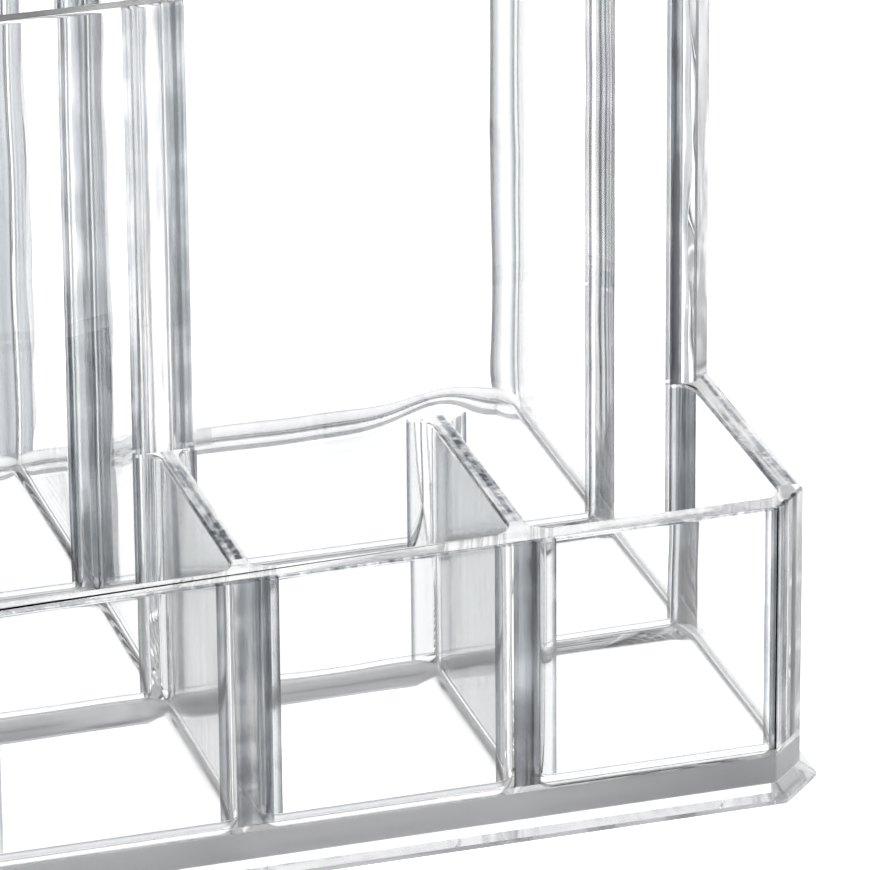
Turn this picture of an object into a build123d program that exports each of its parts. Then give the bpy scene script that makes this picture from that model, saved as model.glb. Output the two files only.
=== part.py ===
"""Clear make-up organiser: a row of small front cells below a tall block of wide cells.

The whole form is first drawn as two plans, one for the height of the front row and one for the
tall block. Each wall is then the stretch of plan that lies between its bond lines, raised to its
rim, and all walls stand on the kerbs of a base tray whose skirt flares out to the table.
"""
import os

from build123d import *

# Plan: centre lines of the walls
front_cell_count = 4
cells_under_one_bay = 2
cell_pitch = 29.0
walls_depth = 96.5
front_row_pitch = 32.0
middle_row_pitch = 28.0

# Walls
outer_wall = 2.7
inner_wall = 2.1
corner_cove = 2.2
corner_chamfer = 4.0
step_chamfer = 2.0
bond_film = 0.05

# Heights above the table
lip_height = 0.5
flare_drop = 1.2
floor_top = 3.5
front_rim = 32.8
tall_rim = 82.0

# Base tray
floor_thickness = 2.0
skirt_flare = 1.6
skirt_wall = 2.2
floor_cove_share = 0.9

# Worked out from the sizes above
floor_cove = corner_cove * floor_cove_share
kerb_top = floor_top + floor_cove
flare_top = lip_height + flare_drop
wall_foot = kerb_top + bond_film
half_film = bond_film / 2
mitre_share = 2 - 2 ** 0.5

back_line = walls_depth / 2
front_line = -back_line
step_line = front_line + front_row_pitch
middle_line = step_line + middle_row_pitch
side_line = cell_pitch * front_cell_count / 2
bay_pitch = cell_pitch * cells_under_one_bay
bay_count = front_cell_count // cells_under_one_bay

outer_half = outer_wall / 2
inner_half = inner_wall / 2
outer_reach = outer_half + corner_cove
inner_reach = inner_half + corner_cove
footprint_width = 2 * side_line + outer_wall
footprint_depth = back_line - front_line + outer_wall

front_bond = front_line + outer_reach
step_front_bond = step_line - inner_reach
step_rear_bond = step_line + inner_reach
back_bond = back_line - outer_reach
side_bond = side_line - outer_reach
side_face = side_line + outer_half
back_face = back_line + outer_half
front_face = front_line - outer_half
step_face = step_line - inner_half


def span(x_low, x_high, y_low, y_high):
    """A plain rectangle of the plan, given by its limits."""
    centre = Pos((x_low + x_high) / 2, (y_low + y_high) / 2)
    return centre * Rectangle(x_high - x_low, y_high - y_low)


def chamfered(width, depth, leg):
    """A rectangle of the plan with its four corners cut at 45 degrees."""
    return chamfer(Rectangle(width, depth).vertices(), leg)


def cell(x_low, x_high, y_low, y_high):
    """The clear inside of one cell, with rounded corners."""
    centre = Pos((x_low + x_high) / 2, (y_low + y_high) / 2)
    return centre * RectangleRounded(x_high - x_low, y_high - y_low, corner_cove)


def wall_half_at(line):
    """Half the thickness of the wall on a front-to-back line."""
    return outer_half if abs(line) == side_line else inner_half


def row_of_cells(count, pitch, y_low, y_high):
    """The cells of one row, from left to right."""
    lines = [index * pitch - side_line for index in range(count + 1)]
    return [
        cell(left + wall_half_at(left), right - wall_half_at(right), y_low, y_high)
        for left, right in zip(lines, lines[1:])
    ]


def raised(plan, area, bottom, top):
    """The walls of a plan that stand in one area, between two heights."""
    return Pos(0, 0, bottom) * extrude(plan & area, top - bottom)


# Plans of the front row's height and of the tall block
front_row = row_of_cells(front_cell_count, cell_pitch, front_line + outer_half, step_line - inner_half)
middle_row = row_of_cells(bay_count, bay_pitch, step_line + inner_half, middle_line - inner_half)
rear_row = row_of_cells(bay_count, bay_pitch, middle_line + inner_half, back_line - outer_half)
tall_cells = middle_row + rear_row

footprint = chamfered(footprint_width, footprint_depth, corner_chamfer)
block_depth = back_face - step_face
block_square = Rectangle(footprint_width, block_depth)
block_light = chamfer(block_square.vertices().group_by(Axis.Y)[0], step_chamfer)
block_plan = chamfer(block_light.vertices().group_by(Axis.Y)[-1], corner_chamfer)
block_outline = Pos(0, (back_face + step_face) / 2) * block_plan
low_plan = footprint - front_row - tall_cells
tall_plan = block_outline - tall_cells


def base_tray():
    """The floor with a coved well under every cell, on a hollow skirt that flares to the table."""
    skirt_leg = corner_chamfer + skirt_flare * mitre_share
    skirt = chamfered(footprint_width + 2 * skirt_flare, footprint_depth + 2 * skirt_flare, skirt_leg)
    hollow_inset = skirt_flare - skirt_wall
    hollow_leg = corner_chamfer + hollow_inset * mitre_share
    hollow = chamfered(footprint_width + 2 * hollow_inset, footprint_depth + 2 * hollow_inset, hollow_leg)
    lip = extrude(skirt, lip_height)
    flare = loft([Pos(0, 0, lip_height) * skirt.face(), Pos(0, 0, flare_top) * footprint.face()], ruled=True)
    floor = Pos(0, 0, flare_top) * extrude(footprint, kerb_top - flare_top)
    tray = lip + flare + floor
    for clear in front_row + tall_cells:
        core = Pos(0, 0, floor_top) * extrude(clear, 2 * floor_cove)
        well = fillet(core.faces().sort_by(Axis.Z)[0].edges(), floor_cove)
        tray -= well
    return tray - extrude(hollow, floor_top - floor_thickness)


def front_wall():
    """The front wall with its chamfered returns and the coved roots of the dividers."""
    area = span(-side_face, side_face, front_face, front_bond - half_film)
    return raised(low_plan, area, wall_foot, front_rim)


def between_front_bonds(line, reach):
    """One front-to-back wall of the front row, between the front wall and the step wall."""
    area = span(line - reach, line + reach, front_bond + half_film, step_front_bond - half_film)
    return raised(low_plan, area, wall_foot, front_rim)


def step_wall():
    """The tall wall behind the front cells, with roots for the dividers and for the spine."""
    area = span(half_film - side_bond, side_bond - half_film, step_front_bond, step_rear_bond)
    low = raised(low_plan, area, wall_foot, front_rim)
    return low + raised(tall_plan, area, front_rim, tall_rim)


def rear_side_wall(side):
    """One tall side wall, with the roots of the step wall and of the mid wall."""
    inner = side * (side_bond + half_film)
    outer = side * side_face
    area = span(min(inner, outer), max(inner, outer), step_front_bond + half_film, back_bond - half_film)
    low = raised(low_plan, area, wall_foot, front_rim)
    return low + raised(tall_plan, area, front_rim, tall_rim)


def back_wall():
    """The tall back wall with its chamfered returns and the root of the spine."""
    area = span(-side_face, side_face, back_bond + half_film, back_face)
    return raised(tall_plan, area, wall_foot, tall_rim)


def centre_spine():
    """The tall wall between the left and right bays, with the roots of both mid walls."""
    reach = inner_reach - half_film
    area = span(-reach, reach, step_rear_bond + half_film, back_bond - half_film)
    return raised(tall_plan, area, wall_foot, tall_rim)


def mid_wall(side):
    """The tall wall between the two rows of one bay."""
    near = side * (inner_reach + half_film)
    far = side * (side_bond - half_film)
    area = span(min(near, far), max(near, far), middle_line - inner_half, middle_line + inner_half)
    return raised(tall_plan, area, wall_foot, tall_rim)


nodes = {
    "base_tray": base_tray(),
    "front_wall": front_wall(),
    "step_wall": step_wall(),
    "back_wall": back_wall(),
    "centre_spine": centre_spine(),
}
for name, side in (("left", -1), ("right", 1)):
    nodes[f"{name}_front_side_wall"] = between_front_bonds(side * side_line, outer_half)
    nodes[f"{name}_rear_side_wall"] = rear_side_wall(side)
    nodes[f"{name}_mid_wall"] = mid_wall(side)
for name, step in (("left", -1), ("centre", 0), ("right", 1)):
    nodes[f"{name}_front_divider"] = between_front_bonds(step * cell_pitch, inner_half)

os.makedirs("parts", exist_ok=True)
for name, shape in nodes.items():
    export_step(shape, f"parts/{name}.step")
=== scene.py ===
"""Clear make-up organiser: thick moulded walls round open cells, on a tray with a flared skirt.

Every panel is a plan outline carried up a short profile with a softened rim, so the rounded
roots between the walls bend light as one moulding does. Faces where two panels are bonded carry
a weld film that light passes unbent. Every face corner also carries a depth of painted shade, from
0 on plain faces to about 1 in the darkest roots, rims and stripes, and the plastic's tint deepens
with it into painted shade and painted streaks along the roots, rims and edges.
"""
import logging
import math
from dataclasses import dataclass, field
from enum import Enum
from typing import NamedTuple

import bpy
import numpy as np
from mathutils import Matrix, Vector
from mathutils.geometry import tessellate_polygon

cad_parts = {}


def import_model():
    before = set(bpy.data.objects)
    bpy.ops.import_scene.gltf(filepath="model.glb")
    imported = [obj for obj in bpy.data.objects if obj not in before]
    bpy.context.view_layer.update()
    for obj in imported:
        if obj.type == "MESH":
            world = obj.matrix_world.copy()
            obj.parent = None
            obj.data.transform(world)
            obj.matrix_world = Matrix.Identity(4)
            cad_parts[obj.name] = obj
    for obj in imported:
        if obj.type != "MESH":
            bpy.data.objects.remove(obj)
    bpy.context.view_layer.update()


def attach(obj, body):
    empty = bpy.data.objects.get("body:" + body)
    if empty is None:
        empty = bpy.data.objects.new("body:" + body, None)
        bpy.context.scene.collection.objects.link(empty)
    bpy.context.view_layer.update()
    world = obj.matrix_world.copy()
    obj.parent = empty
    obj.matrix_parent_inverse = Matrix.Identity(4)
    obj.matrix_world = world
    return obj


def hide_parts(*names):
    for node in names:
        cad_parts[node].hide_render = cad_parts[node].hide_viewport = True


log = logging.getLogger("organiser")

# A millimetre in metres, and tolerances in millimetres
MM = 0.001
TINY = 1e-6
SLIVER_AREA = 1e-12
MERGE_GRID = 0.001

# Half the walls' thickness and the radius of the inside corners, in millimetres
OUTER_HALF = 1.35
INNER_HALF = 1.05
CORNER_COVE = 2.2

# Steps of a cove, of a rim's edge and of a fade
COVE_STEPS = 18
RIM_STEPS = 6
FADE_STEPS = 6

# Values that every face corner carries; root_depth is the depth of painted shade in the colour
LAYERS = ("root_depth", "patchy", "rim_run", "frost")


class Slot(Enum):
    """Material slots of the record."""

    WALL = "clear_wall"
    BASE = "clear_base"


class Role(Enum):
    """What a face of a panel is, which picks its material."""

    CLEAR = 0
    WELD = 1


class Run(Enum):
    """Which way the painted streaks of a rim run."""

    NONE = 0.0
    ALONG_X = -1.0
    ALONG_Y = 1.0


@dataclass(frozen=True)
class Wall:
    """Centre line and half the thickness of a wall, in millimetres.

    The near face is the one at the smaller coordinate. The roots that stand on a face end at its
    bond line, a cove further out.
    """

    line: float
    half: float

    @property
    def near(self) -> float:
        """The near face."""
        return self.line - self.half

    @property
    def far(self) -> float:
        """The far face."""
        return self.line + self.half

    @property
    def near_bond(self) -> float:
        """Bond line of the roots on the near face."""
        return self.near - CORNER_COVE

    @property
    def far_bond(self) -> float:
        """Bond line of the roots on the far face."""
        return self.far + CORNER_COVE


@dataclass(frozen=True)
class Sizes:
    """Sizes of the organiser in millimetres, the same as the solids'."""

    cell_pitch: float = 29.0
    front: Wall = Wall(-48.25, OUTER_HALF)
    step: Wall = Wall(-16.25, INNER_HALF)
    middle: Wall = Wall(11.75, INNER_HALF)
    back: Wall = Wall(48.25, OUTER_HALF)
    spine: Wall = Wall(0.0, INNER_HALF)
    side: Wall = Wall(58.0, OUTER_HALF)
    cove: float = CORNER_COVE
    chamfer: float = 4.0
    step_chamfer: float = 2.0
    half_film: float = 0.025
    lip_height: float = 0.5
    flare_top: float = 1.7
    floor_top: float = 3.5
    floor_cove: float = 1.98
    front_rim: float = 32.8
    tall_rim: float = 82.0
    floor_underside: float = 1.5
    skirt_flare: float = 1.6
    hollow_inset: float = 0.6
    rim_round: float = 0.35
    corner_round: float = 0.55

    @property
    def kerb_top(self) -> float:
        """Height where the tray's coves end."""
        return self.floor_top + self.floor_cove

    @property
    def wall_foot(self) -> float:
        """Height where the walls start, a film above the kerb."""
        return self.kerb_top + 2 * self.half_film

    @property
    def dividers(self) -> tuple[Wall, ...]:
        """The front dividers, from left to right."""
        return Wall(-self.cell_pitch, INNER_HALF), self.spine, Wall(self.cell_pitch, INNER_HALF)

    @property
    def bars(self) -> tuple[Wall, ...]:
        """All walls beside the front cells, from left to right."""
        return Wall(-self.side.line, OUTER_HALF), *self.dividers, self.side


class Corner(NamedTuple):
    """A corner of a plan polygon, in millimetres, and what the edge that leaves it is like.

    Depth is the painted shade of the edge that leaves the corner, and a body is the depth of painted shade in
    the middle of the corner's own cove.
    """

    x: float
    y: float
    radius: float = 0.0
    bonded: bool = False
    depth: float = 0.0
    body: float | None = None


class ShadeStrip(NamedTuple):
    """An upright strip of painted shade on a flat face: its limits from a line, and its depth."""

    low: float
    high: float
    depth: float


@dataclass(frozen=True)
class CoveShade:
    """Painted shade of rounded roots: its depth in the middle, and width of the painted dark lines at both
    edges.
    """

    body: float
    line_width: float


@dataclass(frozen=True)
class RimShadeAndFrost:
    """Painted shade and frost of a rim: depths of painted shade on its flat top and on its rounded edge."""

    top_depth: float
    line_depth: float
    frost: float = 0.0


@dataclass(frozen=True)
class BandShadeAndFrost:
    """Painted shade and frost of a plain band of the tray's outside."""

    depth: float = 0.0
    frost: float = 0.0


@dataclass(frozen=True)
class FloorShadeAndFrost:
    """Look of a floor's cove: depth of painted shade, frost, and the share of it that looks curved.

    The share is that at the front and back of a cell.
    """

    body: float
    frost: float
    curved_share: float


SIZES = Sizes()

# Depths of painted shade that the panels share, for cove lines, rounded outer corners and rims, and the rims'
# frost
COVE_LINE = 1.0
SWELL_POWER = 0.6
CORNER_DEPTH = 0.9
PATCHY_FROM = 0.3
THIN_COVE = CoveShade(0.25, 0.1)
BAR_RIM = RimShadeAndFrost(1.0, 0.95)
TALL_RIM = RimShadeAndFrost(0.15, 0.12, 0.45)


def lined(share: np.ndarray, body: float | np.ndarray, line: float, width: float) -> np.ndarray:
    """Painted shade across a cove: a swelling body, and a darker painted line at each tangent edge.

    Args:
        share: place across the cove, from 0 to 1.
        body: depth in the middle, which falls off as a power of a half sine.
        line: depth of the lines, which fall off as a bell curve.
        width: share of the cove over which a line falls off.

    Returns:
        The depth at each place, at most 1.
    """
    swell = body * np.sin(math.pi * share).clip(0.0) ** SWELL_POWER
    edge = line * (np.exp(-(share / width) ** 2) + np.exp(-((1 - share) / width) ** 2))
    return np.minimum(np.maximum(swell, edge), 1.0)


def tilted(normals: np.ndarray, angles: np.ndarray) -> np.ndarray:
    """Plan normals turned up by angles: cos a of the normal, and sin a of straight up."""
    return np.concatenate([np.cos(angles)[..., None] * normals, np.sin(angles)[..., None]], axis=-1)


def quads(start: np.ndarray, end: np.ndarray) -> np.ndarray:
    """Values at the corners of the quads between neighbouring rows, from both ends of each edge."""
    return np.stack([start[:-1], end[:-1], end[1:], start[1:]], axis=2)


def mirrored(corners: list[Corner]) -> list[Corner]:
    """Mirror a run of corners left to right, still anticlockwise.

    Args:
        corners: the corners. A mirrored corner takes the edge that led to it, because its own
            edge now leads to it.

    Returns:
        The mirrored corners, in the order that they are met.
    """
    pairs = zip(corners, [corners[-1], *corners])
    return [corner._replace(x=-corner.x, bonded=before.bonded, depth=before.depth)
            for corner, before in pairs][::-1]


def faded(start: tuple[float, float], stop: tuple[float, float], first: float, last: float) -> list[Corner]:
    """Corners along a flat face whose painted shade changes in small steps.

    Args:
        start: the first corner's place.
        stop: the place of the corner that follows the last one.
        first: depth of the edge after the first corner.
        last: depth of the edge before the stop.

    Returns:
        The corners, without the stop.
    """
    places = np.linspace(start, stop, FADE_STEPS + 1)[:-1].tolist()
    depths = np.linspace(first, last, FADE_STEPS).tolist()
    return [Corner(x, y, depth=depth) for (x, y), depth in zip(places, depths)]


def root(bar: Wall, face: float, end: float, body: float | None = None) -> list[Corner]:
    """Corners of the root that a wall along x has for a bar along y.

    Args:
        bar: the bar.
        face: the face that the root stands on.
        end: the line where it ends.
        body: depth of painted shade in its coves, where they have their own.

    Returns:
        Four corners, the coves first and last.
    """
    first, last = (bar.far, bar.near) if end > face else (bar.near, bar.far)
    return [Corner(first, face, CORNER_COVE, body=body), Corner(first, end, bonded=True),
            Corner(last, end), Corner(last, face, CORNER_COVE, body=body)]


def cross_root(bar: Wall, face: float, end: float) -> list[Corner]:
    """The root that a wall along y has for a bar along x: a root turned by a quarter."""
    return [corner._replace(x=-corner.y, y=corner.x) for corner in root(bar, -face, -end)]


@dataclass
class Outline:
    """A closed plan outline, anticlockwise, in millimetres.

    Each edge runs from its own point to the next one. Its two normals are the arc's radial
    directions on a rounded corner and the edge's own direction elsewhere. A point's weight is
    the share of a rim's rounding that it gets.
    """

    points: np.ndarray
    start_normals: np.ndarray
    end_normals: np.ndarray
    bonds: np.ndarray
    start_depths: np.ndarray
    end_depths: np.ndarray
    patchiness: float
    weights: np.ndarray

    @classmethod
    def from_corners(cls, corners: list[Corner], cove: CoveShade = THIN_COVE, patchiness: float = 0.0,
                     low: tuple[float, float] = (-math.inf, -math.inf),
                     high: tuple[float, float] = (math.inf, math.inf)) -> "Outline":
        """Round the corners of a polygon and clip it to a rectangle.

        A corner of radius r that turns by an angle a is cut back by r tan(a/2) on both edges.
        The arc's normal turns from one edge's normal to the next one's, and its points lie
        r along that normal from the arc's centre.

        Args:
            corners: the polygon's corners, anticlockwise.
            cove: painted shade of the inside corners.
            patchiness: how patchy the painted shade of the deep faces is, from 0 to 1.
            low: least x and y that are kept.
            high: greatest x and y that are kept.

        Returns:
            The rounded outline.
        """
        table = np.array([(*corner[:5], cove.body if corner.body is None else corner.body)
                          for corner in corners], float)
        place, radius, bonded = table[:, :2], table[:, 2], table[:, 3] > 0
        edge_depth, body = table[:, 4:5], table[:, 5:6]
        ahead = np.roll(place, -1, axis=0) - place
        ahead /= np.linalg.norm(ahead, axis=1, keepdims=True)
        behind = np.roll(ahead, 1, axis=0)
        cross = behind[:, 0] * ahead[:, 1] - behind[:, 1] * ahead[:, 0]
        turn = np.arctan2(cross, (behind * ahead).sum(axis=1))
        share = np.linspace(0.0, 1.0, COVE_STEPS + 1)
        angle = turn[:, None] * share
        cos, sin = np.cos(angle), np.sin(angle)
        right = np.stack([behind[:, 1], -behind[:, 0]], axis=1)
        x, y = right[:, :1], right[:, 1:]
        normal = np.stack([cos * x - sin * y, sin * x + cos * y], axis=2)
        reach = (np.sign(turn) * radius)[:, None]
        centre = place - behind * (radius * np.tan(np.abs(turn) / 2))[:, None] - reach * right
        arc = centre[:, None] + reach[:, :, None] * normal
        rounded = radius > 0
        keep = np.ones(arc.shape[:2], bool)
        keep[~rounded, 1:] = False
        on_arc, bond = np.zeros_like(keep), np.zeros_like(keep)
        on_arc[rounded, :-1] = True
        bond[rounded, -1] = bonded[rounded]
        bond[~rounded, 0] = bonded[~rounded]
        points = np.clip(arc[keep], low, high)
        edge = np.roll(points, -1, axis=0) - points
        length = np.linalg.norm(edge, axis=1)
        straight = np.stack([edge[:, 1], -edge[:, 0]], axis=1) / np.maximum(length, TINY)[:, None]
        curved, radial = on_arc[keep], normal[keep]
        start = np.where(curved[:, None], radial, straight)
        end = np.where(curved[:, None], np.roll(radial, -1, axis=0), straight)
        # Painted shade: dark lines along each cove, and a flat dark value on rounded outer corners
        swell = lined(share, body, COVE_LINE, cove.line_width)
        swell = np.where(turn[:, None] < 0, swell, CORNER_DEPTH)[keep]
        depth = np.where(curved, swell, np.broadcast_to(edge_depth, keep.shape)[keep])
        depth_after = np.where(curved, np.roll(swell, -1), depth)
        real = length > TINY
        return cls(points[real], start[real], end[real], bond[keep][real], depth[real],
                   depth_after[real], patchiness, np.ones(int(real.sum())))

    @property
    def leans(self) -> np.ndarray:
        """Outward direction at each point, taken from a free edge beside it."""
        return np.where(self.bonds[:, None], np.roll(self.end_normals, 1, axis=0), self.start_normals)

    def inset(self, distance: float | np.ndarray) -> np.ndarray:
        """Points drawn inwards by a distance times their weight, one row for each distance."""
        return self.points - np.multiply.outer(distance, self.leans * self.weights[:, None])


@dataclass(frozen=True)
class Profile:
    """Rows of a wall from its foot to its rim: heights, insets, and tilts of the normals."""

    heights: np.ndarray
    insets: np.ndarray
    tilts: np.ndarray

    @classmethod
    def to_rim(cls, foot: float, rim: float) -> "Profile":
        """Rise straight from a foot and round the rim's edge.

        The edge is a quarter circle: at angle t the row is drawn in by r(1 - cos t) and lies
        r(1 - sin t) below the rim.

        Args:
            foot: lowest height.
            rim: highest height.

        Returns:
            The profile.
        """
        radius = SIZES.rim_round
        turn = np.linspace(0.0, math.pi / 2, RIM_STEPS + 1)
        heights = np.concatenate([[foot], rim - radius + radius * np.sin(turn)])
        insets = np.concatenate([[0.0], radius * (1 - np.cos(turn))])
        return cls(heights, insets, np.concatenate([[0.0], turn]))


@dataclass
class Shell:
    """The faces of one closed piece, gathered in millimetres.

    The corner layers are root_depth, the depth of painted shade in the colour, patchy, which
    breaks it up, rim_run, the way a rim's painted streaks run, and frost, which roughens the surface.
    """

    corners: list[np.ndarray] = field(default_factory=list)
    normals: list[np.ndarray] = field(default_factory=list)
    counts: list[np.ndarray] = field(default_factory=list)
    roles: list[np.ndarray] = field(default_factory=list)
    layers: dict[str, list[np.ndarray]] = field(default_factory=lambda: {name: [] for name in LAYERS})

    def add_faces(self, places: np.ndarray, normals: np.ndarray, roles: int | np.ndarray,
                  **layers: float | np.ndarray) -> None:
        """Add faces that all have the same number of corners.

        Args:
            places: faces in any number of axes, then their corners, then x, y, z.
            normals: the normal at each of those corners.
            roles: role values of the faces.
            layers: values of the corner layers by name, zero where one isn't given.
        """
        shape = places.shape[:-1]
        for name, found in self.layers.items():
            found.append(np.broadcast_to(layers.get(name, 0.0), shape).reshape(-1))
        self.corners.append(places.reshape(-1, 3))
        self.normals.append(normals.reshape(-1, 3))
        self.counts.append(np.full(math.prod(shape[:-1]), shape[-1]))
        self.roles.append(np.broadcast_to(roles, shape[:-1]).reshape(-1))

    def add_cap(self, points: np.ndarray, height: float, upward: bool, role: Role, **layers: float) -> None:
        """Add one flat face on a loop of plan points.

        Args:
            points: the loop, anticlockwise seen from above.
            height: its height.
            upward: whether it is seen from above.
            role: what the face is.
            layers: values of the corner layers by name.
        """
        loop = points if upward else points[::-1]
        places = np.column_stack([loop, np.full(len(loop), height)])
        normals = np.tile([0.0, 0.0, 1.0 if upward else -1.0], (len(loop), 1))
        self.add_faces(places[None], normals[None], role.value, **layers)

    def add_rows(self, rings: np.ndarray, heights: np.ndarray, start: np.ndarray, end: np.ndarray,
                 roles: int | np.ndarray, **layers: float | np.ndarray) -> None:
        """Add the quads between neighbouring rows of closed loops.

        The surface's parameters are the row and the place round the loop. Its faces look
        outwards where the rows rise and inwards where they fall.

        Args:
            rings: rows, points and x, y.
            heights: height of each row.
            start: normals at the start of each row's edges.
            end: normals at the end of each row's edges.
            roles: a role value for each edge.
            layers: values of the corner layers by name.
        """
        lifted = np.broadcast_to(heights[:, None, None], (*rings.shape[:2], 1))
        rows = np.concatenate([rings, lifted], axis=2)
        self.add_faces(quads(rows, np.roll(rows, -1, axis=1)), quads(start, end), roles, **layers)

    def add_sweep(self, outline: Outline, profile: Profile, shade_and_frost: RimShadeAndFrost, run: Run) -> None:
        """Carry an outline up a profile.

        A point lies at its inset outline point and the row's height, and its normal is the
        outline's normal tilted up by the row's angle. Round the rim's edge the depth of painted shade
        follows the sine of twice the angle, and towards its top that of the angle, so a dark line is painted
        along the rounded edge.

        Args:
            outline: the plan outline.
            profile: the rows.
            shade_and_frost: painted shade of the rim.
            run: which way the rim's painted streaks run.
        """
        tilts, weights = profile.tilts[:, None], outline.weights
        lean = tilts * np.where(outline.bonds, 0.0, weights)
        lean_after = tilts * np.where(outline.bonds, 0.0, np.roll(weights, -1))
        edge = np.maximum(shade_and_frost.line_depth * np.sin(2 * tilts), shade_and_frost.top_depth * np.sin(tilts)) * weights
        depth = np.maximum(outline.start_depths, edge)
        depth_after = np.maximum(outline.end_depths, np.roll(edge, -1, axis=1))
        on_rim = (tilts[1:, :, None] > 0.0).astype(float)
        patchy = np.where(outline.start_depths > PATCHY_FROM, outline.patchiness, 0.0)[:, None]
        roles = np.where(outline.bonds, Role.WELD.value, Role.CLEAR.value)
        self.add_rows(outline.inset(profile.insets), profile.heights, tilted(outline.start_normals, lean),
                      tilted(outline.end_normals, lean_after), roles, root_depth=quads(depth, depth_after),
                      patchy=np.maximum(patchy, on_rim), rim_run=run.value * on_rim)

    def object(self, name: str, materials: list[bpy.types.Material]) -> bpy.types.Object:
        """Merge the gathered corners into a closed mesh and link its object.

        Args:
            name: the piece's name.
            materials: the clear plastic, then the weld film.

        Returns:
            The new object, at the origin, in metres.
        """
        corners = np.concatenate(self.corners) * MM
        normals = np.concatenate(self.normals)
        counts = np.concatenate(self.counts)
        keys = np.round(corners / (MERGE_GRID * MM)).astype(np.int64)
        _, first, index = np.unique(keys, axis=0, return_index=True, return_inverse=True)
        faces = [part.tolist() for part in np.split(index.reshape(-1), np.cumsum(counts)[:-1])]
        mesh = bpy.data.meshes.new(name)
        mesh.from_pydata(corners[first].tolist(), [], faces)
        mesh.polygons.foreach_set("material_index", np.concatenate(self.roles).astype(np.int32))
        mesh.polygons.foreach_set("use_smooth", np.ones(len(counts), bool))
        for layer, found in self.layers.items():
            values = np.concatenate(found).astype(np.float32)
            mesh.attributes.new(layer, "FLOAT", "CORNER").data.foreach_set("value", values)
        for material in materials:
            mesh.materials.append(material)
        mesh.update()
        normals /= np.linalg.norm(normals, axis=1, keepdims=True)
        mesh.normals_split_custom_set(normals.tolist())
        piece = bpy.data.objects.new(name, mesh)
        bpy.context.scene.collection.objects.link(piece)
        return piece


Socket = bpy.types.NodeSocket
Value = Socket | float | tuple[float, ...]


@dataclass(frozen=True)
class Mottle:
    """A cloudy pattern: the values it varies between, how fine it is, and how hard its edges are.

    The window is the part of the noise's own range that is spread over the values.
    """

    values: tuple[float, float]
    scale: tuple[float, float, float]
    detail: float
    window: tuple[float, float]
    distortion: float = 0.0


@dataclass
class Wiring:
    """Short ways to add nodes to a material."""

    tree: bpy.types.NodeTree

    def feed(self, node: bpy.types.Node, inputs: dict[str | int, Value]) -> None:
        """Fill a node's inputs.

        Args:
            node: the node.
            inputs: a socket to link, or a value to set, for each input.
        """
        for key, value in inputs.items():
            if isinstance(value, Socket):
                self.tree.links.new(value, node.inputs[key])
            else:
                node.inputs[key].default_value = value

    def add(self, kind: str, inputs: dict[str | int, Value], **settings: str | bool) -> bpy.types.Node:
        """Add a node.

        Args:
            kind: its type's name, after the common start.
            inputs: sockets and values of its inputs.
            settings: its own properties.

        Returns:
            The new node.
        """
        node = self.tree.nodes.new(f"ShaderNode{kind}")
        for name, value in settings.items():
            setattr(node, name, value)
        self.feed(node, inputs)
        return node

    def layer(self, name: str) -> Socket:
        """A corner layer of the mesh."""
        return self.add("Attribute", {}, attribute_name=name).outputs["Fac"]

    def math(self, operation: str, *values: Value, clamp: bool = False) -> Socket:
        """One arithmetic step on sockets and numbers."""
        node = self.add("Math", dict(enumerate(values)), operation=operation, use_clamp=clamp)
        return node.outputs["Value"]

    def blend(self, share: Socket, value: Socket) -> Socket:
        """A value where the share is 1, and 1 where the share is 0."""
        return self.add("Mix", {0: share, 2: 1.0, 3: value}).outputs[0]

    def stretched(self, place: Socket, scale: tuple[float, float, float]) -> Socket:
        """A place with each axis scaled."""
        return self.add("Mapping", {"Vector": place, "Scale": scale}).outputs["Vector"]

    def noise(self, place: Socket, detail: float, distortion: float = 0.0) -> Socket:
        """Cloudy noise with cells of one unit."""
        inputs = {"Vector": place, "Scale": 1.0, "Detail": detail, "Distortion": distortion}
        return self.add("TexNoise", inputs).outputs["Fac"]

    def spread(self, value: Socket, window: tuple[float, float], values: tuple[float, float]) -> Socket:
        """A window of a value's range spread over a span of values."""
        names = ("From Min", "From Max", "To Min", "To Max")
        return self.add("MapRange", {"Value": value, **dict(zip(names, window + values))}).outputs["Result"]

    def mottled(self, place: Socket, mottle: Mottle) -> Socket:
        """A mottle on a place."""
        noise = self.noise(self.stretched(place, mottle.scale), mottle.detail, mottle.distortion)
        return self.spread(noise, mottle.window, mottle.values)

    def bump(self, height: Socket, depth: float, normal: Socket | None = None) -> Socket:
        """Bend a normal by a height.

        Args:
            height: the height, from 0 to 1.
            depth: what a height of 1 stands for, in metres.
            normal: the normal to bend, if it isn't the surface's own.

        Returns:
            The socket that carries the bent normal.
        """
        inputs = {"Strength": 1.0, "Distance": depth, "Height": height}
        if normal is not None:
            inputs["Normal"] = normal
        return self.add("Bump", inputs).outputs["Normal"]


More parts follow.
